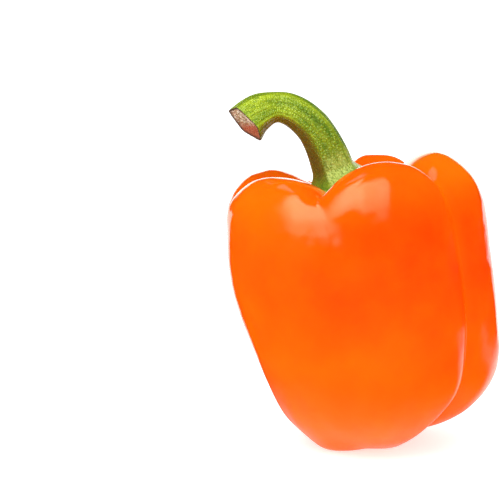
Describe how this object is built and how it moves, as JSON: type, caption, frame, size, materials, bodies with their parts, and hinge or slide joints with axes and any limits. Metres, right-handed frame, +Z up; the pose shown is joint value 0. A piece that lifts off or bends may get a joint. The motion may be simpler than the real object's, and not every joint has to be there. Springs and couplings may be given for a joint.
{
  "type": "bell pepper",
  "caption": "Orange bell pepper on its blossom end: a glossy lobed fruit with a hollow crown, a green calyx pressed into it and a thick stem that bends over to one side.",
  "frame": {"origin": "middle of the whole pepper's bounding box, on the plane that its feet rest on", "axes": "+Z up; the viewer of the picture stands on the -Y side; the stem bends over towards -X"},
  "size_m": [0.084, 0.0792, 0.1088],
  "materials": {
    "skin": "smooth waxy orange skin, glossy, faintly mottled",
    "stem": "matt green, ribbed lengthwise and finely pebbled, with a dry tan cut end"
  },
  "bodies": {
    "root": {"fruit": "skin", "stem_and_calyx": "stem"}
  },
  "joints": []
}
